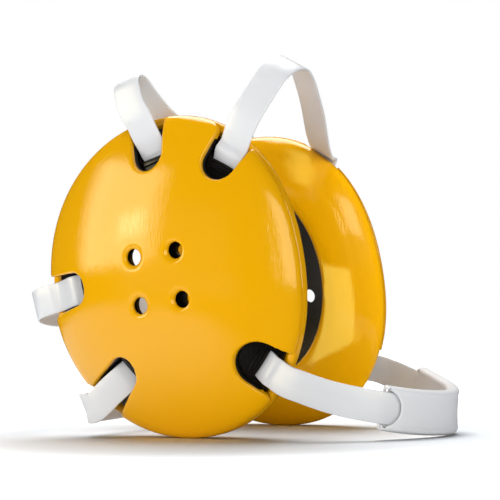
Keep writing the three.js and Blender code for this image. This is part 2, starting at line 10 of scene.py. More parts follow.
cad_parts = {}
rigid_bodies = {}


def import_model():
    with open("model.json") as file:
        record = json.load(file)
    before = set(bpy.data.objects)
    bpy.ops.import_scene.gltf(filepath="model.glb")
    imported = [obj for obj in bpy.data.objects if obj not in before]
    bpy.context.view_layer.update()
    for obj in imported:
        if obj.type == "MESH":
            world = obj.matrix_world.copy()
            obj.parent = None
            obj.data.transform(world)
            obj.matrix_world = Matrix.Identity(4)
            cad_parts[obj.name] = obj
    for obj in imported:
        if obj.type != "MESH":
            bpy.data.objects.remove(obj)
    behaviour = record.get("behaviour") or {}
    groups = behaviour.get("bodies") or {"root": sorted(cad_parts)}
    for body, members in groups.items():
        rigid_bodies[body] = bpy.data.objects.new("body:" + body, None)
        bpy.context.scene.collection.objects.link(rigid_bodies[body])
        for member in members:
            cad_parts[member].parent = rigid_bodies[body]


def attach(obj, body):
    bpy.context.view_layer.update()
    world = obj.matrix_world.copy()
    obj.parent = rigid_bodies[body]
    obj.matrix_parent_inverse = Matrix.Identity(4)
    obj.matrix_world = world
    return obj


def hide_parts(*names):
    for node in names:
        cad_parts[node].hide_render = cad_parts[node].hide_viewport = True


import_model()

bl_info = {
    "name": "Ear guard",
    "version": (1, 0, 0),
    "blender": (4, 5, 0),
    "location": "3D View > Sidebar > Ear guard",
    "description": "Builds the looks of a wrestling ear guard",
    "category": "Object",
}

# Each notch: the middle of its round end as shares of the cup's half length and half height,
# the degrees up from forward in which it opens, its width as a share of the common one, the
# share of it by which the strap lies aside, and the degrees by which the strap is turned
NOTCHES = {
    "front_crown": {"along": 0.56, "up": 0.643, "opens": 55, "wide": 1, "aside": 0, "turn": 0},
    "rear_crown": {"along": 0.04, "up": 0.777, "opens": 97, "wide": 1, "aside": 0, "turn": 4},
    "rear_upper": {"along": -0.7, "up": 0.025, "opens": 184, "wide": 1, "aside": 0, "turn": 2},
    "rear_lower": {"along": -0.377, "up": -0.545, "opens": 214, "wide": 1, "aside": 0, "turn": 0},
    "chin": {"along": 0.631, "up": -0.594, "opens": -42, "wide": 1.29, "aside": -0.06, "turn": -2},
}

# Free run of each head strap: the share of the way from the right rim to the left one, the
# share of the strap's rise, and the share of its width by which it is moved aside
FREE_RUNS = {
    "front_crown": [
        (0.0, 0.24, 0), (0.035, 0.56, 0), (0.08, 0.83, 0), (0.16, 0.97, 0), (0.26, 1, 0),
        (0.36, 0.92, 0), (0.5, 0.74, 0), (0.65, 0.53, 0), (0.8, 0.28, 0), (0.9, 0.12, 0),
    ],
    "rear_crown": [
        (-0.005, 0.35, 0.1), (0, 0.7, 0.12), (0.015, 0.96, 0.12), (0.05, 1.06, 0.1), (0.1, 0.98, 0.1),
        (0.16, 0.66, 0.1), (0.24, 0.2, 0), (0.42, -0.1, 0), (0.62, -0.1, 0), (0.84, 0.1, 0),
    ],
    "rear_upper": [
        (0.02, 0.36, 0), (0.12, 0.64, 0), (0.3, 0.9, 0), (0.5, 1, 0), (0.7, 0.9, 0),
        (0.88, 0.64, 0), (0.98, 0.36, 0),
    ],
    "rear_lower": [
        (0.01, 0.75, -0.24), (0.08, 1, -0.3), (0.3, 1, -0.3), (0.5, 1.05, -0.3), (0.7, 1, -0.3),
        (0.9, 1.6, -0.2), (0.98, 2.2, -0.1),
    ],
}

# Free run of the chin strap: the share of the way between the rims, the share of the chin
# reach, and the height of the strap's middle as a share of the chin pad's height
CHIN_RUN = [
    (0.0, 0.12, 1.19), (0.05, 0.36, 0.94), (0.14, 0.66, 0.73), (0.29, 0.88, 0.58), (0.48, 1, 0.53),
    (0.66, 0.9, 0.62), (0.8, 0.66, 0.83), (0.93, 0.36, 1.09), (0.99, 0.14, 1.28),
]

# Each head strap: how it leaves the right and the left cup, and the middle way of its width
STRAP_EXITS = {
    "front_crown": {"right": "outward", "left": "over", "middle": None},
    "rear_crown": {"right": "raised", "left": "over", "middle": None},
    "rear_upper": {"right": "outward", "left": "outward", "middle": None},
    "rear_lower": {"right": "raised", "left": "raised", "middle": (0, -0.2, -1)},
}


# Profile of a vent: depth under the dome in metres, and radius as a share of its throat's
VENT_PROFILE = [
    (0.0034, 1.5), (0.0028, 1.08), (0.002, 1), (0.0012, 1.02), (0.0008, 1.1), (0.0006, 1.22),
    (0.00055, 1.34), (0.0002, 1.42), (-0.0002, 1.47), (-0.004, 1.47),
]

# The frame's hole behind each vent, from rear low to front high: its radius and its shift
# forward, as shares of the vent's diameter
FRAME_VENTS = [(0.72, 0), (0.72, 0), (0.46, 0.3), (0.32, 0)]

# How far from its true surface a corner of a pad may lie and still be set on it, in metres
SNAP_REACH = 0.0009

# Share of a strap's length at each side of its middle that keeps its middle width direction, and
# the share over which it then turns to the width direction at the cup
STRAIGHT_SHARE = 0.2
TURN_SHARE = 0.22


def length(name, description, default):
    return FloatProperty(name=name, description=description, default=default, unit="LENGTH")


def share(name, description, default):
    return FloatProperty(name=name, description=description, default=default)


def angle(name, description, degrees):
    return FloatProperty(
        name=name, description=description, default=math.radians(degrees), subtype="ANGLE"
    )


def colour(name, description, default):
    return FloatVectorProperty(
        name=name, description=description, default=default, size=3, min=0, max=1, subtype="COLOR"
    )


class EarGuardCup(bpy.types.PropertyGroup):
    """Sizes of the two ear cups"""

    half_length: length("Half length", "Half the cup's length", 0.069)
    half_height: length("Half height", "Half the cup's height", 0.075)
    outline_power: share("Outline power", "Fullness of the cup's outline", 2.1)
    outline_egg: share("Outline swelling", "Three-sided swelling of the outline", -0.023)
    rim_bow: length("Rim bow", "Outward bend of the rim at its top and bottom", 0.0025)
    dome_height: length("Dome height", "Height of the dome over the rim", 0.022)
    dome_power: share("Dome power", "Fullness of the dome", 2.35)
    edge_radius: length("Edge radius", "Radius of the pads' rounded edges", 0.007)
    rim_side: length("Rim side", "Straight side of the inner pad", 0.004)
    outer_thickness: length("Outer pad", "Thickness of the outer pad", 0.0055)
    frame_thickness: length("Frame", "Thickness of the frame", 0.0022)
    frame_inset: length("Frame inset", "How far the frame's edge lies inside the rim", 0.0052)
    layer_gap: length("Layer gap", "Gap between the layers", 0.0005)
    cushion_depth: length("Cushion depth", "How far the inner pad stands in from the rim", 0.019)
    ear_half_length: length("Ear half length", "Half the ear opening's length", 0.0375)
    ear_half_height: length("Ear half height", "Half the ear opening's height", 0.048)
    ear_forward: length("Ear forward", "How far forward the ear opening lies", 0.003)
    ear_up: length("Ear up", "How far up the ear opening lies", 0.0028)
    ear_round: length("Ear edge", "Rounding of the ear opening's edge", 0.004)
    vent_pitch: length("Vent pitch", "Distance between the vents", 0.0225)
    vent_forward: length("Vent forward", "How far forward the vents lie", 0.004)
    vent_up: length("Vent up", "How far up the vents lie", 0.0005)
    vent_diameter: length("Vent diameter", "Diameter of the vents", 0.0075)
    notch_width: length("Notch width", "Width of a notch's round end", 0.016)
    notch_flare: angle("Notch flare", "Flare of a notch's walls", 5)
    notch_lip: length("Notch lip", "Radius of a notch's lips at the rim", 0.004)
    slot_setback: length("Slot setback", "From a notch's end to its slot", 0.0094)
    slot_width: length("Slot width", "Width of a strap slot", 0.0064)
    bar_width: length("Bar width", "Width of the raised bar at a slot", 0.0024)
    bar_height: length("Bar height", "Height of the raised bar at a slot", 0.0009)
    right_place: FloatVectorProperty(
        name="Right cup", description="Place of the right cup",
        default=(-0.04475, 0.01053, 0.07449), subtype="TRANSLATION",
    )
    left_place: FloatVectorProperty(
        name="Left cup", description="Place of the left cup",
        default=(0.04325, 0.01053, 0.07399), subtype="TRANSLATION",
    )
    back_lean: angle("Back lean", "Lean of both cups to the back", 6)
    right_lean: angle("Right lean", "Lean of the right cup to its side", -4)
    left_lean: angle("Left lean", "Lean of the left cup to its side", -8)
    steps: IntProperty(name="Steps", description="Corners of each ring", default=144)
    grain: length("Grain", "Size of the pads' faces", 0.00064)


class EarGuardStraps(bpy.types.PropertyGroup):
    """Sizes of the straps and the chin pad"""

    width: length("Width", "Width of the straps", 0.0145)
    thickness: length("Thickness", "Thickness of the straps", 0.0012)
    gap: length("Gap", "Gap between a strap and the frame", 0.0006)
    tab: length("Tab", "Length of a strap's hidden end", 0.008)
    tab_gap: length("Tab gap", "Gap between a strap's hidden end and the frame", 0.0008)
    right_ease: length("Right ease", "How far the chin strap turns forward at the right rim", 0.0012)
    left_ease: length("Left ease", "How far the chin strap turns forward at the left rim", 0.0028)
    lift: length("Lift", "Height of a strap that stands clear of the frame", 0.003)
    front_crown: length("Front crown rise", "Rise of the front crown strap", 0.038)
    rear_crown: length("Rear crown rise", "Rise of the rear crown strap", 0.02)
    rear_upper: length("Rear upper reach", "Reach of the rear upper strap", 0.027)
    rear_lower: length("Rear lower reach", "Reach of the rear lower strap", 0.006)
    chin_reach: length("Chin reach", "Reach of the chin strap", 0.0575)
    pad_height: length("Chin pad height", "Height of the chin pad", 0.0204)
    pad_thickness: length("Chin pad thickness", "Thickness of the chin pad", 0.0062)
    pad_from: share("Chin pad from", "Share of the chin strap at which the pad starts", 0.318)
    pad_to: share("Chin pad to", "Share of the chin strap at which the pad ends", 0.755)
    pad_tilt: angle("Chin pad tilt", "Tilt of the chin pad", 4)
    mouth: length("Mouth", "Depth of the hollow in the chin pad's ends", 0.0085)
    hole_inset: length("Hole inset", "From the chin pad's end to its corner holes", 0.0019)
    hole_radius: length("Hole radius", "Radius of the chin pad's corner holes", 0.0008)
    steps: IntProperty(name="Steps", description="Sections between two points of a run", default=8)
    grain: length("Grain", "Size of the chin pad's faces", 0.0005)


class EarGuardLooks(bpy.types.PropertyGroup):
    """Colours and the camera"""

    yellow: colour("Yellow", "Colour of the pads' skin", (0.80, 0.385, 0.001))
    # Black is the frame's own colour, and is also painted as shade on the pads' cut walls, in the ear
    # openings and on the face under the frame.
    black: colour("Black", "Colour of the frame and the lining", (0.004, 0.0036, 0.0033))
    white: colour("White", "Colour of the straps", (0.655, 0.665, 0.68))
    pad_white: colour("Pad white", "Colour of the chin pad", (0.71, 0.71, 0.72))
    camera_turn: angle("Camera turn", "Camera's angle round the guard", -60.5)
    camera_rise: angle("Camera rise", "Camera's angle over the floor", -3.2)
    camera_roll: angle("Camera roll", "Camera's roll", -1.0)
    camera_distance: length("Camera distance", "Distance of the camera", 0.724)
    camera_side: length("Camera side", "Camera's shift to its right", 0.01417)
    camera_up: length("Camera up", "Camera's shift upward", 0.0892)
    camera_aim: length("Camera aim", "From the right cup to the place the camera turns about", 0.044)
    lens: FloatProperty(name="Lens", description="Focal length in millimetres", default=105.98)


def outline_factor(cup, turn):
    """Radius of the outline at an angle, as a share of its half length and half height."""
    across = abs(math.cos(turn)) ** cup.outline_power + abs(math.sin(turn)) ** cup.outline_power
    return across ** (-1 / cup.outline_power) * (1 + cup.outline_egg * math.cos(3 * turn))


def rim_bow(cup, v):
    return cup.rim_bow * (v / cup.half_height) ** 2


def cup_point(u, v, w):
    return Vector((w, -u, v))


def outline_ring(cup, inset, part, w):
    ring = []
    for i in range(cup.steps):
        turn = 2 * math.pi * i / cup.steps
        factor = part * outline_factor(cup, turn)
        u = (cup.half_length - inset) * factor * math.cos(turn)
        v = (cup.half_height - inset) * factor * math.sin(turn)
        ring.append(cup_point(u, v, w + rim_bow(cup, v)))
    return ring


def share_at(cup, u, v, inset):
    along = u / (cup.half_length - inset)
    up = v / (cup.half_height - inset)
    return math.hypot(along, up) / outline_factor(cup, math.atan2(up, along))


def dome_height(cup, part):
    return cup.edge_radius + (cup.dome_height - cup.edge_radius) * (1 - part ** cup.dome_power)


def surface_height(cup, u, v):
    return dome_height(cup, share_at(cup, u, v, cup.edge_radius)) + rim_bow(cup, v)


def dome_rings(cup, depth, count=16):
    """Rings of one face of a layer that lies a depth under the dome."""
    rings = []
    for i in range(count + 1):
        part = 0.02 + 0.98 * i / count
        rings.append(outline_ring(cup, cup.edge_radius, part, dome_height(cup, part) - depth))
    return rings


def edge_slope(cup):
    half_width = (cup.half_length + cup.half_height) / 2 - cup.edge_radius
    return (cup.dome_height - cup.edge_radius) * cup.dome_power / half_width


def cushion_level(cup, part):
    """Place of the inner pad's face, from the ear opening out to the rounded edge."""
    face = cup.rim_side + cup.edge_radius
    inner, outer = 0.5, 0.78
    fall_to_rim = max(0, (part - inner) / (1 - inner)) ** 2.6
    fall_to_ear = 0.4 * max(0, (outer - part) / (outer - inner)) ** 2
    return -face - (cup.cushion_depth - face) * (1 - fall_to_rim - fall_to_ear)


def notch_line(cup, name):
    row = NOTCHES[name]
    turn = math.radians(row["opens"])
    direction = Vector((math.cos(turn), math.sin(turn)))
    end = Vector((row["along"] * cup.half_length, row["up"] * cup.half_height))
    slot = end + direction * (cup.slot_setback - cup.notch_width / 2)
    return {"direction": direction, "end": end, "slot": slot, "half": row["wide"] * cup.notch_width / 2}


def strap_line(cup, name):
    """The line that the strap takes through a notch."""
    row = NOTCHES[name]
    line = notch_line(cup, name)
    direction = line["direction"]
    slot = line["slot"] + Vector((-direction.y, direction.x)) * row["aside"] * cup.notch_width
    turn = math.atan2(direction.y, direction.x) + math.radians(row["turn"])
    return {"direction": Vector((math.cos(turn), math.sin(turn))), "slot": slot}


def distance_to_rim(cup, line, inset):
    near, far = 0.0, cup.half_height
    for _ in range(30):
        middle = (near + far) / 2
        place = line["slot"] + line["direction"] * middle
        if share_at(cup, place.x, place.y, inset) < 1:
            near = middle
        else:
            far = middle
    return near


def dome_directions(cup, line, distance):
    """Directions along a notch, across it and outward, and the place, at a distance along it."""
    place = line["slot"] + line["direction"] * distance
    step = 0.001

    def tangent(direction):
        ahead = place + direction * step
        rise = surface_height(cup, ahead.x, ahead.y) - surface_height(cup, place.x, place.y)
        return cup_point(direction.x * step, direction.y * step, rise).normalized()

    along = tangent(line["direction"])
    aside = tangent(Vector((-line["direction"].y, line["direction"].x)))
    outward = aside.cross(along).normalized()
    return along, along.cross(outward), outward, place


def notch_point(cup, line, distance, depth, lift):
    _, _, outward, place = dome_directions(cup, line, distance)
    return cup_point(place.x, place.y, surface_height(cup, place.x, place.y) - depth) + outward * lift


def notch_edge(cup, name, u, v):
    """Distance from a place on the cup to the edge of a notch, below zero inside it."""
    line = notch_line(cup, name)
    offset = Vector((u, v)) - line["end"]
    along = offset.dot(line["direction"])
    across = abs(offset.x * -line["direction"].y + offset.y * line["direction"].x)
    if along < 0:
        return math.hypot(along, across) - line["half"]
    return across - line["half"] - along * math.tan(cup.notch_flare)


def round_ring(centre, first, second, corners):
    """Corners of a round or oval whose half widths are two vectors from its centre."""
    ring = []
    for i in range(corners):
        turn = 2 * math.pi * i / corners
        ring.append(centre + first * math.cos(turn) + second * math.sin(turn))
    return ring


def bezier_place(points, part):
    """Inset and level at a share of a cubic curve between two points, with two points that bend it."""
    rest = 1 - part
    weights = (rest ** 3, 3 * part * rest ** 2, 3 * part ** 2 * rest, part ** 3)
    inset = sum(weight * point[0] for weight, point in zip(weights, points))
    level = sum(weight * point[1] for weight, point in zip(weights, points))
    return inset, level


def loft(name, rings):
    """A mesh through rings with the same number of corners, capped at its ends."""
    bm = bmesh.new()
    loops = []
    for ring in rings:
        made = bmesh.ops.create_circle(bm, segments=len(ring), radius=1)["verts"]
        for vert, place in zip(made, ring):
            vert.co = place
        loops.append(list({edge for vert in made for edge in vert.link_edges}))
    bmesh.ops.contextual_create(bm, geom=loops[0])
    bmesh.ops.contextual_create(bm, geom=loops[-1])
    for first, second in zip(loops, loops[1:]):
        bmesh.ops.bridge_loops(bm, edges=first + second)
    bmesh.ops.recalc_face_normals(bm, faces=bm.faces)
    return object_from(name, bm)


def object_from(name, bm):
    mesh = bpy.data.meshes.new(name)
    bm.to_mesh(mesh)
    bm.free()
    made = bpy.data.objects.new(name, mesh)
    bpy.context.scene.collection.objects.link(made)
    return made


def joined(name, objects):
    """One object with the meshes of several, which are removed."""
    bm = bmesh.new()
    for part in objects:
        bm.from_mesh(part.data)
        discard(part)
    return object_from(name, bm)


def discard(made):
    mesh = made.data
    bpy.data.objects.remove(made)
    bpy.data.meshes.remove(mesh)


def cut(made, cutter, operation="DIFFERENCE"):
    step = made.modifiers.new("Cut", "BOOLEAN")
    step.operation = operation
    step.solver = "EXACT"
    step.object = cutter
    apply_steps(made)
    discard(cutter)


def softened(made, grain, rounds):
    """Even small faces, with every edge rounded a little, as on a dipped pad."""
    remesh = made.modifiers.new("Even faces", "REMESH")
    remesh.mode = "VOXEL"
    remesh.voxel_size = grain
    remesh.use_smooth_shade = True
    smooth = made.modifiers.new("Rounding", "SMOOTH")
    smooth.factor = 0.5
    smooth.iterations = rounds
    apply_steps(made)


def apply_steps(made):
    depsgraph = bpy.context.evaluated_depsgraph_get()
    mesh = bpy.data.meshes.new_from_object(made.evaluated_get(depsgraph))
    old = made.data
    made.modifiers.clear()
    made.data = mesh
    bpy.data.meshes.remove(old)
    mesh.name = made.name


def shade_smooth(made, degrees):
    for face in made.data.polygons:
        face.use_smooth = True
    made.data.set_sharp_from_angle(angle=math.radians(degrees))


def notch_cutter(cup, name):
    """A cutter with a round inner end, walls that flare to the mouth, and rounded lips."""
    line = notch_line(cup, name)
    half = line["half"]
    mouth = distance_to_rim(cup, line, 0) + cup.slot_setback - cup.notch_width / 2
    lip = cup.notch_lip
    start = mouth - lip
    lip_half = half + start * math.tan(cup.notch_flare)
    side = []
    for i in range(17):
        turn = math.pi / 2 * (1 + i / 16)
        side.append((half * math.cos(turn), half * math.sin(turn)))
    side.reverse()
    for i in range(9):
        turn = math.pi / 2 * (1 - i / 8)
        side.append((start + lip * math.cos(turn), lip_half + lip - lip * math.sin(turn)))
    side.append((mouth + cup.notch_width, lip_half + lip))
    profile = side + [(a, -b) for a, b in reversed(side[1:])]
    rings = []
    for w in (-2 * cup.dome_height, 2 * cup.dome_height):
        ring = []
        for a, b in profile:
            place = line["end"] + line["direction"] * a
            place += Vector((-line["direction"].y, line["direction"].x)) * b
            ring.append(cup_point(place.x, place.y, w))
        rings.append(ring)
    return loft("notch", rings)


def vent_places(cup):
    places = []
    for i in (-0.5, 0.5):
        for j in (-0.5, 0.5):
            places.append((cup.vent_forward + i * cup.vent_pitch, cup.vent_up + j * cup.vent_pitch))
    return places


def vent_cutter(cup, u, v):
    """A round cutter with a narrow throat, wide below it and dished above it."""
    top = surface_height(cup, u, v)
    radius = cup.vent_diameter / 2
    levels = [(-cup.dome_height, VENT_PROFILE[0][1])]
    levels += [(top - depth, wide) for depth, wide in VENT_PROFILE]
    rings = []
    for w, wide in levels:
        reach = wide * radius
        rings.append(round_ring(cup_point(u, v, w), cup_point(reach, 0, 0), cup_point(0, reach, 0), 40))
    return loft("vent", rings)


def snap_dome(cup, mesh):
    """Sets the smooth part of the dome exactly on its crowned surface."""
    vents = vent_places(cup)
    edge, clear, fade = 0.985, 0.0012, 0.0015
    for vert in mesh.vertices:
        u, v, w = -vert.co.y, vert.co.z, vert.co.x
        part = share_at(cup, u, v, cup.edge_radius)
        level = surface_height(cup, u, v)
        if part > edge or abs(w - level) > SNAP_REACH:
            continue
        gap = min(notch_edge(cup, name, u, v) for name in NOTCHES)
        gap = min([gap] + [math.hypot(u - a, v - b) - cup.vent_diameter * 0.85 for a, b in vents])
        weight = min(1, max(0, (gap - clear) / fade)) * min(1, (edge - part) / 0.03)
        vert.co.x = w + (level - w) * weight


def snap_cushion(cup, mesh):
    """Sets the smooth part of the inner pad's face exactly on its bulging surface."""
    edge, clear, fade = 0.97, 0.006, 0.003
    for vert in mesh.vertices:
        u, v, w = -vert.co.y, vert.co.z, vert.co.x
        part = share_at(cup, u, v, cup.edge_radius)
        level = cushion_level(cup, part) + rim_bow(cup, v)
        if part > edge or abs(w - level) > SNAP_REACH:
            continue
        along = (u - cup.ear_forward) / cup.ear_half_length
        up = (v - cup.ear_up) / cup.ear_half_height
        gap = (math.hypot(along, up) - 1) * cup.ear_half_length
        weight = min(1, max(0, (gap - clear) / fade)) * min(1, (edge - part) / 0.04)
        vert.co.x = w + (level - w) * weight


def record_places(cup, mesh):
    """Keeps each corner's place on its cup, how near the rim it lies and its depth in the dome."""
    mesh.attributes.new("cup_place", "FLOAT_VECTOR", "POINT")
    mesh.attributes.new("cup_share", "FLOAT", "POINT")
    mesh.attributes.new("cup_depth", "FLOAT", "POINT")
    places = mesh.attributes["cup_place"].data
    shares = mesh.attributes["cup_share"].data
    depths = mesh.attributes["cup_depth"].data
    for vert, place, part, depth in zip(mesh.vertices, places, shares, depths):
        u, v, w = -vert.co.y, vert.co.z, vert.co.x
        place.vector = (u, v, w)
        part.value = share_at(cup, u, v, cup.frame_inset)
        depth.value = surface_height(cup, u, v) - w


def cup_matrix(cup, side):
    lean = cup.right_lean if side == "right" else cup.left_lean
    place = cup.right_place if side == "right" else cup.left_place
    turn = Matrix.Rotation(lean, 4, "Y") @ Matrix.Rotation(-cup.back_lean, 4, "X")
    return Matrix.Translation(place) @ turn


def on_cup(cup, side, point):
    x = -point.x if side == "right" else point.x
    return cup_matrix(cup, side) @ Vector((x, point.y, point.z))


def pair_of(cup, shape, layer, material, node):
    """Places a layer of the left cup, and its mirror image on the right one."""
    record_places(cup, shape.data)
    right = bpy.data.objects.new("right_" + layer, shape.data.copy())
    bpy.context.scene.collection.objects.link(right)
    bm = bmesh.new()
    bm.from_mesh(right.data)
    for vert in bm.verts:
        vert.co.x = -vert.co.x
    bmesh.ops.reverse_faces(bm, faces=bm.faces)
    bm.to_mesh(right.data)
    bm.free()
    shape.name = "left_" + layer
    for side, made in (("right", right), ("left", shape)):
        made.data.transform(cup_matrix(cup, side))
        finish_piece(made, material, side + "_" + node)
    return right, shape


def finish_piece(made, material, node):
    made.data.materials.clear()
    made.data.materials.append(material)
    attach(made, "root")
    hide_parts(node)


def catmull(points, steps):
    """Samples of a smooth curve through points, a number of steps to each length between them."""
    samples = []
    for i in range(len(points) - 1):
        p1, p2 = points[i], points[i + 1]
        p0 = points[i - 1] if i > 0 else p1 * 2 - p2
        p3 = points[i + 2] if i + 2 < len(points) else p2 * 2 - p1
        d0, d1, d2 = [max((b - a).length, 1e-9) ** 0.5 for a, b in ((p0, p1), (p1, p2), (p2, p3))]
        start = ((p1 - p0) / d0 - (p2 - p0) / (d0 + d1) + (p2 - p1) / d1) * d1
        end = ((p2 - p1) / d1 - (p3 - p1) / (d1 + d2) + (p3 - p2) / d2) * d1
        for j in range(steps):
            t = j / steps
            bend = (p1 - p2) * 2 + start + end
            turn = (p2 - p1) * 3 - start * 2 - end
            samples.append(p1 + start * t + turn * t ** 2 + bend * t ** 3)
    samples.append(points[-1].copy())
    return samples


def end_points(cup, strap, name, way_out, ease=0.0):
    """Middle line of a strap's end: its tab, the slot, and its way over the rim."""
    line = strap_line(cup, name)
    top = cup.outer_thickness + cup.layer_gap
    bottom = top + cup.frame_thickness
    off = strap.gap + strap.thickness / 2
    under = strap.tab_gap + strap.thickness / 2
    half = cup.slot_width / 2 - strap.gap
    rim = distance_to_rim(cup, line, 0)
    aside = Vector((-line["direction"].y, line["direction"].x))

    def over_rim(beyond, w, forward=0):
        place = line["slot"] + line["direction"] * (rim + beyond) + aside * forward
        return cup_point(place.x, place.y, w + rim_bow(cup, place.y))

    points = [
        notch_point(cup, line, -half - strap.tab, bottom, -under),
        notch_point(cup, line, -half - strap.tab / 2, bottom, -under),
        notch_point(cup, line, -half, bottom, -under),
        notch_point(cup, line, 0, (top + bottom) / 2, 0),
        notch_point(cup, line, half, top, off),
    ]
    if way_out == "raised":
        height = points[-1].x - rim_bow(cup, line["slot"].y)
        points.append(over_rim(-rim / 2, height + strap.lift / 2))
        points.append(over_rim(0, height + strap.lift))
        return points
    edge = distance_to_rim(cup, line, cup.frame_inset)
    if way_out == "eased":
        points.append(notch_point(cup, line, edge - cup.layer_gap, top, 1.6 * off))
        points.append(over_rim(strap.thickness, 2.4 * off, ease))
        return points
    points.append(notch_point(cup, line, edge - cup.layer_gap, top, off))
    points.append(over_rim(-cup.frame_inset / 3, off))
    if way_out == "outward":
        points.append(over_rim(strap.thickness, off + strap.thickness / 4))
    else:
        points.append(over_rim(0.75 * off, 0.55 * off))
        points.append(over_rim(off + strap.gap / 2, -1.2 * off))
        points.append(over_rim(off + strap.gap / 2, -cup.rim_side))
    return points


def strap_ends(cup, strap, name, right_out, left_out):
    right = [on_cup(cup, "right", p) for p in end_points(cup, strap, name, right_out)]
    left = [on_cup(cup, "left", p) for p in end_points(cup, strap, name, left_out)]
    return right, left[::-1]


def on_side(cup, side, vector):
    origin = on_cup(cup, side, Vector((0, 0, 0)))
    return on_cup(cup, side, vector) - origin


def width_way(cup, name, middle):
    """Direction of a strap's width at a share of its length, by way of a middle direction."""
    across = dome_directions(cup, strap_line(cup, name), 0)[1]
    right = on_side(cup, "right", across)
    left = on_side(cup, "left", across)
    centre = Vector(middle).normalized() if middle else (right + left).normalized()

    def way(part):
        t = min(1, max(0, (abs(part - 0.5) - STRAIGHT_SHARE) / TURN_SHARE))
        blend = t * t * (3 - 2 * t)
        return centre.lerp(right if part < 0.5 else left, blend).normalized()

    return way


def length_shares(samples):
    lengths = [0.0]
    for before, after in zip(samples, samples[1:]):
        lengths.append(lengths[-1] + (after - before).length)
    return [value / lengths[-1] for value in lengths]


def sections(samples, shares, way, profile):
    """The profile set square to the line at each sample: its first length runs along the width."""
    rings = []
    for i, sample in enumerate(samples):
        tangent = (samples[min(i + 1, len(samples) - 1)] - samples[max(i - 1, 0)]).normalized()
        wide = way(shares[i])
        wide = (wide - tangent * wide.dot(tangent)).normalized()
        thick = tangent.cross(wide)
        rings.append([sample + wide * a + thick * b for a, b in profile])
    return rings


def rounded_band(width, thickness, corners=4):
    """Profile of flat webbing with rounded edges."""
    radius = thickness / 2
    half = width / 2 - radius
    profile = []
    for i in range(corners + 1):
        turn = -math.pi / 2 + math.pi * i / corners
        profile.append((half + radius * math.cos(turn), radius * math.sin(turn)))
    profile.append((half / 3, radius))
    profile.append((-half / 3, radius))
    for i in range(corners + 1):
        turn = math.pi / 2 + math.pi * i / corners
        profile.append((-half + radius * math.cos(turn), radius * math.sin(turn)))
    profile.append((-half / 3, -radius))
    profile.append((half / 3, -radius))
    return profile


def head_strap_line(cup, strap, name):
    exits = STRAP_EXITS[name]
    right, left = strap_ends(cup, strap, name, exits["right"], exits["left"])
    along, across, _, _ = dome_directions(cup, strap_line(cup, name), 0)
    outward = on_side(cup, "right", along) + on_side(cup, "left", along)
    aside = on_side(cup, "right", across) + on_side(cup, "left", across)
    outward.x = 0
    aside.x = 0
    outward.normalize()
    aside.normalize()
    run = []
    for part, rise, shift in FREE_RUNS[name]:
        point = right[-1].lerp(left[0], part)
        run.append(point + outward * rise * getattr(strap, name) + aside * shift * strap.width)
    return catmull(right + run + left, strap.steps)


def chin_line(cup, strap):
    right = [on_cup(cup, "right", p) for p in end_points(cup, strap, "chin", "eased", strap.right_ease)]
    left = [on_cup(cup, "left", p) for p in end_points(cup, strap, "chin", "eased", strap.left_ease)]
    left.reverse()
    run = []
    for part, reach, height in CHIN_RUN:
        point = right[-1].lerp(left[0], part)
        point.y -= reach * strap.chin_reach
        point.z = height * strap.pad_height
        run.append(point)
    return catmull(right + run + left, strap.steps)


def chin_way(cup, strap):
    return width_way(cup, "chin", (0, -math.sin(strap.pad_tilt), math.cos(strap.pad_tilt)))


def node_group(name, inputs, outputs):
    """An empty shader node group with the named inputs and outputs."""
    group = bpy.data.node_groups.new(name, "ShaderNodeTree")
    for label, kind, default in inputs:
        socket = group.interface.new_socket(label, in_out="INPUT", socket_type=kind)
        if default is not None:
            socket.default_value = default
    for label, kind in outputs:
        group.interface.new_socket(label, in_out="OUTPUT", socket_type=kind)
    start = group.nodes.new("NodeGroupInput")
    end = group.nodes.new("NodeGroupOutput")
    return group, start, end


def vinyl_wrinkles():
    """Fine wrinkles and soft waves of a dipped skin: a normal and a value for the roughness."""
    group, start, end = node_group(
        "Vinyl wrinkles",
        [("Fine", "NodeSocketFloat", 0.07), ("Waves", "NodeSocketFloat", 0.05)],
        [("Normal", "NodeSocketVector"), ("Wear", "NodeSocketFloat")],
    )
    nodes, links = group.nodes, group.links
    place = nodes.new("ShaderNodeTexCoord")
    stretch = nodes.new("ShaderNodeMapping")
    stretch.inputs["Rotation"].default_value = (math.radians(8), 0, 0)
    stretch.inputs["Scale"].default_value = (1.0, 1.0, 0.22)
    fine = nodes.new("ShaderNodeTexNoise")
    fine.inputs["Scale"].default_value = 1300
    fine.inputs["Detail"].default_value = 2
    waves = nodes.new("ShaderNodeTexNoise")
    waves.inputs["Scale"].default_value = 60
    waves.inputs["Detail"].default_value = 2
    first = nodes.new("ShaderNodeBump")
    first.inputs["Distance"].default_value = 0.0006
    second = nodes.new("ShaderNodeBump")
    second.inputs["Distance"].default_value = 0.0012
    links.new(place.outputs["Object"], stretch.inputs["Vector"])
    links.new(stretch.outputs["Vector"], fine.inputs["Vector"])
    links.new(place.outputs["Object"], waves.inputs["Vector"])
    links.new(start.outputs["Waves"], first.inputs["Strength"])
    links.new(waves.outputs["Fac"], first.inputs["Height"])
    links.new(start.outputs["Fine"], second.inputs["Strength"])
    links.new(fine.outputs["Fac"], second.inputs["Height"])
    links.new(first.outputs["Normal"], second.inputs["Normal"])
    links.new(second.outputs["Normal"], end.inputs["Normal"])
    links.new(waves.outputs["Fac"], end.inputs["Wear"])
    return group


def solved(group, operation, *values):
    """The result of a math node, whose values are sockets or plain numbers."""
    node = group.nodes.new("ShaderNodeMath")
    node.operation = operation
    for socket, value in zip(node.inputs, values):
        if isinstance(value, bpy.types.NodeSocket):
            group.links.new(value, socket)
        else:
            socket.default_value = value
    return node.outputs[0]


def kept(group, name, output="Fac"):
    """A value that was kept at each corner."""
    node = group.nodes.new("ShaderNodeAttribute")
    node.attribute_name = name
    return node.outputs[output]


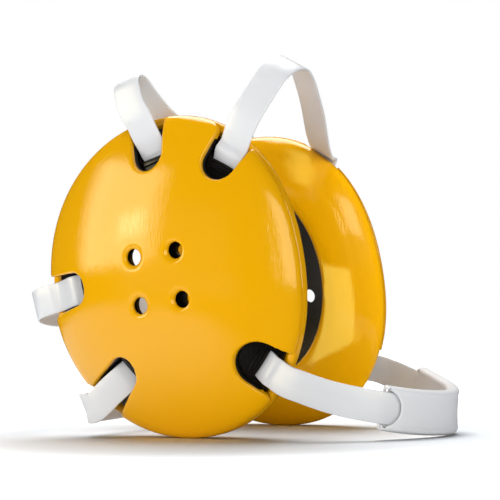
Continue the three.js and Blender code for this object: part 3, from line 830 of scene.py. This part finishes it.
def cut_wall_painted_shade():
    """Mask of painted shade: black painted on the walls of the vents and notches, from each corner's
    depth in the dome.
    """
    group, start, end = node_group(
        "Cut lining",
        [("Depth", "NodeSocketFloat", 0.0022), ("Rim", "NodeSocketFloat", 0.985)],
        [("Mask", "NodeSocketFloat")],
    )
    deep = solved(group, "GREATER_THAN", kept(group, "cup_depth"), start.outputs["Depth"])
    within = solved(group, "LESS_THAN", kept(group, "cup_share"), start.outputs["Rim"])
    group.links.new(solved(group, "MULTIPLY", deep, within), end.inputs["Mask"])
    return group


def ear_painted_shade(cup):
    """Mask of painted shade: black painted on the wall of the ear opening and on the face hidden under
    the frame.
    """
    group, start, end = node_group(
        "Ear lining", [("Edge", "NodeSocketFloat", 1.07)], [("Mask", "NodeSocketFloat")]
    )
    split = group.nodes.new("ShaderNodeSeparateXYZ")
    group.links.new(kept(group, "cup_place", "Vector"), split.inputs["Vector"])
    squares = []
    for axis, centre, half in (
        ("X", cup.ear_forward, cup.ear_half_length),
        ("Y", cup.ear_up, cup.ear_half_height),
    ):
        shift = solved(group, "SUBTRACT", split.outputs[axis], centre)
        width = solved(group, "ABSOLUTE", solved(group, "DIVIDE", shift, half))
        squares.append(solved(group, "POWER", width, 2))
    inside = solved(group, "LESS_THAN", solved(group, "ADD", *squares), start.outputs["Edge"])
    under = solved(group, "LESS_THAN", kept(group, "cup_share"), 1)
    raised = solved(group, "GREATER_THAN", split.outputs["Z"], -cup.rim_side)
    covered = solved(group, "MULTIPLY", under, raised)
    group.links.new(solved(group, "MAXIMUM", inside, covered), end.inputs["Mask"])
    return group


def new_material(name):
    material = bpy.data.materials.new(name)
    material.use_nodes = True
    return material, material.node_tree.nodes, material.node_tree.links


def add_group(nodes, group):
    node = nodes.new("ShaderNodeGroup")
    node.node_tree = group
    return node


def vinyl_material(name, looks, cup, shade_in_ear_opening):
    """Glossy yellow skin, dull and with black painted as shade in the ear opening or in the vents and
    notches.
    """
    material, nodes, links = new_material(name)
    skin = nodes["Principled BSDF"]
    skin.inputs["IOR"].default_value = 1.5
    skin.inputs["Base Color"].default_value = (*looks.yellow, 1)
    wrinkles = add_group(nodes, bpy.data.node_groups.get("Vinyl wrinkles") or vinyl_wrinkles())
    links.new(wrinkles.outputs["Normal"], skin.inputs["Normal"])
    rough = nodes.new("ShaderNodeMapRange")
    rough.inputs["To Min"].default_value = 0.06
    rough.inputs["To Max"].default_value = 0.12
    links.new(wrinkles.outputs["Wear"], rough.inputs["Value"])
    painted_shade = add_group(nodes, ear_painted_shade(cup) if shade_in_ear_opening else cut_wall_painted_shade())
    # Painted shade: where the mask is one, the yellow gives way to black and the skin turns dull.
    dark = nodes.new("ShaderNodeMix")
    dark.data_type = "RGBA"
    dark.inputs["A"].default_value = (*looks.yellow, 1)
    dark.inputs["B"].default_value = (*looks.black, 1)
    dull = nodes.new("ShaderNodeMix")
    dull.inputs["B"].default_value = 0.6
    links.new(rough.outputs["Result"], dull.inputs["A"])
    for mixed, socket in ((dark, "Base Color"), (dull, "Roughness")):
        links.new(painted_shade.outputs["Mask"], mixed.inputs["Factor"])
        links.new(mixed.outputs["Result"], skin.inputs[socket])
    return material


def plain_material(name, base, rough, bump, scale, clear=0.0, shine=0.5):
    """Moulded plastic or coated webbing with a fine surface grain."""
    material, nodes, links = new_material(name)
    skin = nodes["Principled BSDF"]
    skin.inputs["Base Color"].default_value = (*base, 1)
    skin.inputs["Specular IOR Level"].default_value = shine
    skin.inputs["Subsurface Weight"].default_value = clear
    skin.inputs["Subsurface Scale"].default_value = 0.003
    skin.inputs["Subsurface Radius"].default_value = (1, 1, 1)
    place = nodes.new("ShaderNodeTexCoord")
    grain = nodes.new("ShaderNodeTexNoise")
    grain.inputs["Scale"].default_value = scale
    grain.inputs["Detail"].default_value = 4
    relief = nodes.new("ShaderNodeBump")
    relief.inputs["Strength"].default_value = bump
    relief.inputs["Distance"].default_value = 0.0006
    tone = nodes.new("ShaderNodeMapRange")
    tone.inputs["To Min"].default_value = rough - 0.05
    tone.inputs["To Max"].default_value = rough + 0.05
    links.new(place.outputs["Object"], grain.inputs["Vector"])
    links.new(grain.outputs["Fac"], relief.inputs["Height"])
    links.new(grain.outputs["Fac"], tone.inputs["Value"])
    links.new(tone.outputs["Result"], skin.inputs["Roughness"])
    links.new(relief.outputs["Normal"], skin.inputs["Normal"])
    return material


class EARGUARD_OT_outer_pads(bpy.types.Operator):
    """Build the two domed outer pads"""

    bl_idname = "earguard.outer_pads"
    bl_label = "Outer pads"

    def execute(self, context):
        cup = context.scene.ear_guard_cup
        rings = dome_rings(cup, 0)
        for i in range(1, 9):
            inset, level = self.edge_place(cup, i / 8)
            rings.append(outline_ring(cup, inset, 1, level))
        rings.append(outline_ring(cup, cup.frame_inset - 2.5 * cup.layer_gap, 1, 0))
        rings.extend(reversed(dome_rings(cup, cup.outer_thickness)))
        shape = loft("outer_skin", rings)
        cutters = [notch_cutter(cup, name) for name in NOTCHES]
        cutters += [vent_cutter(cup, u, v) for u, v in vent_places(cup)]
        cut(shape, joined("cutters", cutters))
        softened(shape, cup.grain, 5)
        snap_dome(cup, shape.data)
        material = vinyl_material("outer_vinyl", context.scene.ear_guard_looks, cup, False)
        for made in pair_of(cup, shape, "outer_skin", material, "outer_pad"):
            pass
        return {"FINISHED"}

    def edge_place(self, cup, part):
        """Inset and level along the rounded edge, which goes on from the dome's slope to upright."""
        size = cup.edge_radius
        slope = (cup.dome_height - size) * cup.dome_power / (cup.half_length - size)
        reach = 0.42 * size
        points = ((size, size), (size - reach, size - slope * reach), (0, reach), (0, 0))
        return bezier_place(points, part)


class EARGUARD_OT_frames(bpy.types.Operator):
    """Build the two dark frames with their strap slots and bars"""

    bl_idname = "earguard.frames"
    bl_label = "Frames"

    def execute(self, context):
        cup = context.scene.ear_guard_cup
        strap = context.scene.ear_guard_straps
        top = cup.outer_thickness + cup.layer_gap
        drop = edge_slope(cup) * (cup.edge_radius - cup.frame_inset)
        rings = dome_rings(cup, top, 10)
        rings.append(outline_ring(cup, cup.frame_inset, 1, cup.edge_radius - top - drop))
        low = cup.edge_radius - top - drop - cup.frame_thickness
        rings.append(outline_ring(cup, cup.frame_inset, 1, low))
        rings.extend(reversed(dome_rings(cup, top + cup.frame_thickness, 10)))
        shape = loft("frame_shell", rings)
        cutters = []
        for (u, v), (wide, shift) in zip(vent_places(cup), FRAME_VENTS):
            cutters.append(self.vent(cup, u + shift * cup.vent_diameter, v, wide))
        bars = []
        for name in NOTCHES:
            line = strap_line(cup, name)
            size = Vector((cup.slot_width, strap.width + 2 * strap.gap, 4 * cup.frame_thickness))
            cutters.append(self.block(cup, line, 0, top, size, 0))
            size = Vector((cup.bar_width, 0.8 * strap.width, 2 * cup.bar_height))
            place = -(cup.slot_width + cup.bar_width) / 2 - cup.layer_gap
            bars.append(self.block(cup, line, place, top, size, 0.3))
        cut(shape, joined("cutters", cutters))
        cut(shape, joined("bars", bars), "UNION")
        shade_smooth(shape, 28)
        looks = context.scene.ear_guard_looks
        material = plain_material("black_plastic", looks.black, 0.26, bump=0.05, scale=500, shine=0.3)
        pair_of(cup, shape, "frame_shell", material, "frame")
        return {"FINISHED"}

    def vent(self, cup, u, v, wide):
        """A plain round cutter with a radius given as a share of the vent's diameter."""
        rings = []
        wide *= cup.vent_diameter
        for w in (-cup.dome_height, 2 * cup.dome_height):
            rings.append(round_ring(cup_point(u, v, w), cup_point(wide, 0, 0), cup_point(0, wide, 0), 48))
        return loft("frame_vent", rings)

    def block(self, cup, line, distance, depth, size, rounding):
        """A block square to the dome, with rounded edges if asked."""
        along, across, outward, _ = dome_directions(cup, line, distance)
        turn = Matrix((along, across, outward)).transposed().to_4x4()
        place = notch_point(cup, line, distance, depth, 0)
        bm = bmesh.new()
        bmesh.ops.create_cube(bm, size=1)
        for vert in bm.verts:
            vert.co = Vector((vert.co.x * size.x, vert.co.y * size.y, vert.co.z * size.z))
        if rounding:
            bmesh.ops.bevel(bm, geom=bm.edges, offset=rounding * size.z, segments=3, profile=0.5,
                            affect="EDGES", material=-1)
        bm.transform(Matrix.Translation(place) @ turn)
        bmesh.ops.recalc_face_normals(bm, faces=bm.faces)
        return object_from("block", bm)


class EARGUARD_OT_inner_pads(bpy.types.Operator):
    """Build the two thick inner pads round the ear openings"""

    bl_idname = "earguard.inner_pads"
    bl_label = "Inner pads"

    def execute(self, context):
        cup = context.scene.ear_guard_cup
        top = cup.outer_thickness + cup.frame_thickness + 2 * cup.layer_gap
        drop = edge_slope(cup) * (cup.edge_radius - cup.frame_inset)
        gap = cup.layer_gap
        corner = 0.0006
        rings = dome_rings(cup, top)
        rings.append(outline_ring(cup, cup.frame_inset - gap, 1, cup.edge_radius - top - drop))
        rings.append(outline_ring(cup, cup.frame_inset - 3 * gap, 1, -gap / 2))
        rings.append(outline_ring(cup, corner, 1, -gap / 2))
        rings.append(outline_ring(cup, 0, 1, -2 * corner))
        for i in range(8):
            inset, level = self.edge_place(cup, i / 8)
            rings.append(outline_ring(cup, inset, 1, level))
        for i in range(14):
            part = 1 - 0.97 * i / 13
            rings.append(outline_ring(cup, cup.edge_radius, part, cushion_level(cup, part)))
        shape = loft("inner_skin", rings)
        cut(shape, self.ear_cutter(cup))
        softened(shape, cup.grain * 1.4, 8)
        snap_cushion(cup, shape.data)
        material = vinyl_material("inner_vinyl", context.scene.ear_guard_looks, cup, True)
        for made in pair_of(cup, shape, "inner_skin", material, "inner_pad"):
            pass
        return {"FINISHED"}

    def edge_place(self, cup, part):
        """Inset and level along the rounded edge, from the upright side on to the face's slope."""
        size = cup.edge_radius
        face = cushion_level(cup, 1)
        half_width = (cup.half_length + cup.half_height) / 2 - size
        step = 0.001
        slope = (cushion_level(cup, 1) - cushion_level(cup, 1 - step)) / (step * half_width)
        corner = face + slope * size
        side = -cup.rim_side
        points = (
            (0, side),
            (0, side + (corner - side) * 0.6),
            (size * 0.4, face + slope * size * 0.6),
            (size, face),
        )
        return bezier_place(points, part)

    def ear_cutter(self, cup):
        """A cutter that widens in a round towards the head."""
        start = 1.4 * cup.ear_round - cup.cushion_depth
        radius = 1.5 * cup.ear_round
        levels = [(2 * cup.dome_height, 0), (start, 0)]
        for i in range(1, 9):
            turn = math.radians(80) * i / 8
            levels.append((start - radius * math.sin(turn), radius * (1 - math.cos(turn))))
        rings = []
        for w, wider in levels:
            first = cup_point(cup.ear_half_length + wider, 0, 0)
            second = cup_point(0, cup.ear_half_height + wider, 0)
            rings.append(round_ring(cup_point(cup.ear_forward, cup.ear_up, w), first, second, cup.steps))
        return loft("ear", rings)


class EARGUARD_OT_head_straps(bpy.types.Operator):
    """Build the four head straps"""

    bl_idname = "earguard.head_straps"
    bl_label = "Head straps"

    def execute(self, context):
        cup = context.scene.ear_guard_cup
        strap = context.scene.ear_guard_straps
        looks = context.scene.ear_guard_looks
        material = plain_material("white_webbing", looks.white, 0.36, bump=0.1, scale=900, clear=0.35)
        for name, exits in STRAP_EXITS.items():
            samples = head_strap_line(cup, strap, name)
            way = width_way(cup, name, exits["middle"])
            profile = rounded_band(strap.width, strap.thickness)
            rings = sections(samples, length_shares(samples), way, profile)
            made = loft(name + "_webbing", rings)
            shade_smooth(made, 60)
            finish_piece(made, material, name + "_strap")
        return {"FINISHED"}


class EARGUARD_OT_chin_strap(bpy.types.Operator):
    """Build the chin strap"""

    bl_idname = "earguard.chin_strap"
    bl_label = "Chin strap"

    def execute(self, context):
        cup = context.scene.ear_guard_cup
        strap = context.scene.ear_guard_straps
        samples = chin_line(cup, strap)
        profile = rounded_band(strap.width, strap.thickness)
        rings = sections(samples, length_shares(samples), chin_way(cup, strap), profile)
        made = loft("chin_webbing", rings)
        shade_smooth(made, 60)
        finish_piece(made, bpy.data.materials["white_webbing"], "chin_strap")
        return {"FINISHED"}


class EARGUARD_OT_chin_pad(bpy.types.Operator):
    """Build the moulded chin pad"""

    bl_idname = "earguard.chin_pad"
    bl_label = "Chin pad"

    def execute(self, context):
        cup = context.scene.ear_guard_cup
        strap = context.scene.ear_guard_straps
        looks = context.scene.ear_guard_looks
        samples = catmull(chin_line(cup, strap), 2)
        shares = length_shares(samples)
        way = chin_way(cup, strap)
        covered = [i for i, part in enumerate(shares) if strap.pad_from <= part <= strap.pad_to]
        span = [samples[i] for i in covered]
        shares = [shares[i] for i in covered]
        body = loft("chin_shell", sections(span, shares, way, self.profile(strap)))
        ahead = [span[0] * 2 - span[2]] + span + [span[-1] * 2 - span[-3]]
        shares = [shares[0]] + shares + [shares[-1]]
        tunnel = rounded_band(strap.width + 3 * strap.gap, strap.thickness + 3 * strap.gap)
        cutters = [loft("tunnel", sections(ahead, shares, way, tunnel))]
        for end, following in ((span[0], span[6]), (span[-1], span[-7])):
            cutters.append(self.mouth(strap, end, following))
            cutters.append(self.corner_holes(strap, end, following))
        for cutter in cutters:
            cut(body, cutter)
        softened(body, strap.grain, 4)
        material = plain_material("moulded_white", looks.pad_white, 0.5, bump=0.06, scale=700, clear=0.15)
        finish_piece(body, material, "chin_pad")
        return {"FINISHED"}

    def profile(self, strap):
        """A flat oblong with rounded corners and thickened long edges."""
        half = strap.pad_height / 2
        thick = strap.pad_thickness / 2
        quarter = [(1, 0), (0.985, 0.45), (0.93, 0.83), (0.86, 1), (0.76, 1), (0.66, 0.9), (0.3, 0.87)]
        top = [(half * a, thick * b) for a, b in quarter]
        profile = list(top)
        profile += [(-a, b) for a, b in reversed(top)]
        profile += [(-a, -b) for a, b in top[1:]]
        profile += [(a, -b) for a, b in reversed(top[1:])]
        return profile

    def directions(self, end, following):
        """Directions at one end of the pad: along it, out from it and up its face."""
        along = (following - end).normalized()
        out = along.cross(Vector((0, 0, 1))).normalized()
        if out.y > 0:
            out.negate()
        return along, out, along.cross(out)

    def corner_holes(self, strap, end, following):
        """Two small holes through the corners at one end of the pad."""
        along, out, up = self.directions(end, following)
        holes = []
        for side in (-1, 1):
            height = side * (strap.pad_height / 2 - 1.1 * strap.hole_inset)
            middle = end + along * strap.hole_inset + up * height
            rings = []
            for depth in (-2 * strap.pad_thickness, 2 * strap.pad_thickness):
                first, second = along * strap.hole_radius, up * strap.hole_radius
                rings.append(round_ring(middle + out * depth, first, second, 16))
            holes.append(loft("corner_hole", rings))
        return joined("corner_holes", holes)

    def mouth(self, strap, end, following):
        """The round cut in the outer wall at one end of the pad."""
        along, out, up = self.directions(end, following)
        rings = []
        for depth in (0.0, 2 * strap.pad_thickness):
            first, second = along * strap.mouth, up * strap.width * 0.56
            rings.append(round_ring(end + out * depth, first, second, 48))
        return loft("mouth", rings)


class EARGUARD_OT_stage(bpy.types.Operator):
    """Set up the floor, the studio light and the camera"""

    bl_idname = "earguard.stage"
    bl_label = "Stage"

    def execute(self, context):
        looks = context.scene.ear_guard_looks
        bm = bmesh.new()
        bmesh.ops.create_grid(bm, x_segments=1, y_segments=1, size=6)
        floor = object_from("floor", bm)
        floor.data.materials.append(self.paper())
        self.surroundings(context)
        self.lights(Vector(context.scene.ear_guard_cup.right_place))
        self.camera(context, looks)
        context.scene.view_settings.view_transform = "Standard"
        return {"FINISHED"}

    def paper(self):
        """White paper that reflections see only near the guard, and that is lit away from it."""
        paper, nodes, links = new_material("white_paper")
        sheet = nodes["Principled BSDF"]
        sheet.inputs["Roughness"].default_value = 0.9
        sheet.inputs["Specular IOR Level"].default_value = 0
        sheet.inputs["Emission Color"].default_value = (1, 1, 1, 1)
        path = nodes.new("ShaderNodeLightPath")
        place = nodes.new("ShaderNodeTexCoord")
        dark = self.fade(nodes, links, centre=(-0.14, 0.2, 0), edge=(0.19, 0.27))
        lit = self.fade(nodes, links, centre=(0, 0, 0), edge=(0.11, 0.22))
        for factor, ray in ((dark, "Is Glossy Ray"), (lit, "Is Camera Ray")):
            links.new(place.outputs["Object"], factor["place"])
            links.new(path.outputs[ray], factor["ray"])
        tone = nodes.new("ShaderNodeMix")
        tone.data_type = "RGBA"
        tone.inputs["A"].default_value = (0.85, 0.885, 0.92, 1)
        tone.inputs["B"].default_value = (0.02, 0.02, 0.02, 1)
        links.new(dark["factor"], tone.inputs["Factor"])
        links.new(tone.outputs["Result"], sheet.inputs["Base Color"])
        links.new(lit["factor"], sheet.inputs["Emission Strength"])
        return paper

    def fade(self, nodes, links, centre, edge):
        """A factor for one kind of ray that grows from zero to one with the distance from a centre."""
        reach = nodes.new("ShaderNodeVectorMath")
        reach.operation = "DISTANCE"
        reach.inputs[1].default_value = centre
        rise = nodes.new("ShaderNodeMapRange")
        rise.interpolation_type = "SMOOTHSTEP"
        rise.inputs["From Min"].default_value = edge[0]
        rise.inputs["From Max"].default_value = edge[1]
        both = nodes.new("ShaderNodeMath")
        both.operation = "MULTIPLY"
        links.new(reach.outputs["Value"], rise.inputs["Value"])
        links.new(rise.outputs["Result"], both.inputs[0])
        return {"place": reach.inputs[0], "ray": both.inputs[1], "factor": both.outputs[0]}

    def surroundings(self, context):
        """A white backdrop, an even soft fill, and a dark studio in the reflections."""
        world = bpy.data.worlds.new("Studio")
        world.use_nodes = True
        nodes, links = world.node_tree.nodes, world.node_tree.links
        path = nodes.new("ShaderNodeLightPath")
        backdrop = nodes.new("ShaderNodeMix")
        backdrop.inputs["A"].default_value = 0.16
        backdrop.inputs["B"].default_value = 1.0
        dark = nodes.new("ShaderNodeMix")
        dark.inputs["B"].default_value = 0.03
        links.new(path.outputs["Is Camera Ray"], backdrop.inputs["Factor"])
        links.new(path.outputs["Is Glossy Ray"], dark.inputs["Factor"])
        links.new(backdrop.outputs["Result"], dark.inputs["A"])
        background = nodes["Background"]
        background.inputs["Color"].default_value = (1, 1, 1, 1)
        links.new(dark.outputs["Result"], background.inputs["Strength"])
        context.scene.world = world

    def lights(self, near_cup):
        """A top softbox that lights the guard and the floor and shows in reflections, softboxes that only
        reflections see, and fills that no reflection sees.
        """
        warm = (1, 0.9, 0.58)
        golden = (0.9, 1, 0.25)
        white = (1, 1, 1)
        ends = ("skin", "webbing", "shell")
        pieces = [made.name for made in bpy.data.objects if made.name.endswith(ends)]
        crowns = [name for name in pieces if name.endswith("crown_webbing")]
        ring = ["left_inner_skin"]
        others = [name for name in pieces if name not in ring]
        self.light("Top softbox", near_cup, (120, 70), (1, 1), 6.9, white)
        softboxes = (
            ("Rear softbox", (-140, 15), (0.92, 0.72), 4.6, warm, None),
            ("Rear lamp", (-131, 10), (0.12, 0.16), 9, warm, None),
            ("Front softbox", (-38, 9), (0.8, 0.7), 4.4, warm, others),
            ("Ring softbox", (-42, 21), (0.5, 0.48), 4.6, warm, ring),
            ("Ring top softbox", (-84, 50), (0.4, 0.9), 3.4, golden, ring),
        )
        for name, angles, size, radiance, tint, names in softboxes:
            softbox = self.light(name, near_cup, angles, size, radiance, tint)
            softbox.visible_diffuse = False
            self.aim_at(softbox, names)
        ring_low = Vector((0.031, -0.04, 0.051))
        card = self.light("Ring low card", ring_low, (-88, -13), (0.07, 0.068), 5, golden, 0.048)
        card.visible_diffuse = False
        self.aim_at(card, ring)
        fills = (
            ("Front fill", (-32, 8), (1.2, 0.9), 2.6, 1.3, pieces),
            ("Rear fill", (-112, 3), (1.4, 0.6), 3.2, 1.3, pieces),
            ("Low fill", (-105, -6), (0.5, 0.05), 8, 0.45, pieces),
            ("Inner fill", (-25, 22), (0.8, 0.8), 4.5, 1.3, ring),
            ("Crown fill", (-60, 20), (0.8, 0.8), 1.1, 1.3, crowns),
        )
        for name, angles, size, radiance, reach, names in fills:
            fill = self.light(name, near_cup, angles, size, radiance, white, reach)
            fill.visible_glossy = False
            self.aim_at(fill, names)

    def aim_at(self, light, names):
        """Limits a light to the pieces named, if any are."""
        if names is None:
            return
        receivers = bpy.data.collections.new(light.name + " pieces")
        for name in names:
            receivers.objects.link(bpy.data.objects[name])
        light.light_linking.receiver_collection = receivers

    def light(self, name, target, angles, size, radiance, tint, reach=1.3):
        """A softbox at a distance from a place, at an angle round it and one over the floor."""
        turn, rise = [math.radians(degrees) for degrees in angles]
        way = Vector((math.sin(turn) * math.cos(rise), -math.cos(turn) * math.cos(rise), math.sin(rise)))
        data = bpy.data.lights.new(name, "AREA")
        data.shape = "RECTANGLE"
        data.size, data.size_y = size
        data.energy = radiance * math.pi * size[0] * size[1]
        data.color = tint
        made = bpy.data.objects.new(name, data)
        made.location = target + way * reach
        made.rotation_euler = way.to_track_quat("Z", "Y").to_euler()
        made.visible_camera = False
        bpy.context.scene.collection.objects.link(made)
        return made

    def camera(self, context, looks):
        """The camera at the photograph's place and angle."""
        turn, rise, roll = looks.camera_turn, looks.camera_rise, looks.camera_roll
        back = Vector((math.sin(turn) * math.cos(rise), -math.cos(turn) * math.cos(rise), math.sin(rise)))
        right = Vector((math.cos(turn), math.sin(turn), 0))
        up = back.cross(right)
        origin = Vector(context.scene.ear_guard_cup.right_place) + Vector((looks.camera_aim, 0, 0))
        origin.z = 0
        place = origin + right * looks.camera_side + up * looks.camera_up + back * looks.camera_distance
        across = right * math.cos(roll) + up * math.sin(roll)
        above = up * math.cos(roll) - right * math.sin(roll)
        data = bpy.data.cameras.new("Camera")
        data.lens = looks.lens
        data.sensor_width = 36
        data.clip_start = 0.01
        made = bpy.data.objects.new("Camera", data)
        axes = Matrix((across, above, back)).transposed().to_4x4()
        made.matrix_world = Matrix.Translation(place) @ axes
        context.scene.collection.objects.link(made)
        context.scene.camera = made


class EARGUARD_PT_panel(bpy.types.Panel):
    """Buttons that build the ear guard's pieces"""

    bl_label = "Ear guard"
    bl_idname = "EARGUARD_PT_panel"
    bl_space_type = "VIEW_3D"
    bl_region_type = "UI"
    bl_category = "Ear guard"

    def draw(self, context):
        for operator in OPERATORS:
            self.layout.operator(operator.bl_idname)


OPERATORS = (
    EARGUARD_OT_outer_pads,
    EARGUARD_OT_frames,
    EARGUARD_OT_inner_pads,
    EARGUARD_OT_head_straps,
    EARGUARD_OT_chin_strap,
    EARGUARD_OT_chin_pad,
    EARGUARD_OT_stage,
)
GROUPS = {
    "ear_guard_cup": EarGuardCup,
    "ear_guard_straps": EarGuardStraps,
    "ear_guard_looks": EarGuardLooks,
}


def register():
    for kind in (*GROUPS.values(), *OPERATORS, EARGUARD_PT_panel):
        bpy.utils.register_class(kind)
    for name, kind in GROUPS.items():
        setattr(bpy.types.Scene, name, PointerProperty(type=kind))


def unregister():
    for name in GROUPS:
        delattr(bpy.types.Scene, name)
    for kind in (EARGUARD_PT_panel, *reversed(OPERATORS), *GROUPS.values()):
        bpy.utils.unregister_class(kind)


def main():
    register()
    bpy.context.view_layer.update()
    bpy.ops.earguard.outer_pads()
    bpy.ops.earguard.frames()
    bpy.ops.earguard.inner_pads()
    bpy.ops.earguard.head_straps()
    bpy.ops.earguard.chin_strap()
    bpy.ops.earguard.chin_pad()
    bpy.ops.earguard.stage()


if __name__ == "__main__":
    main()
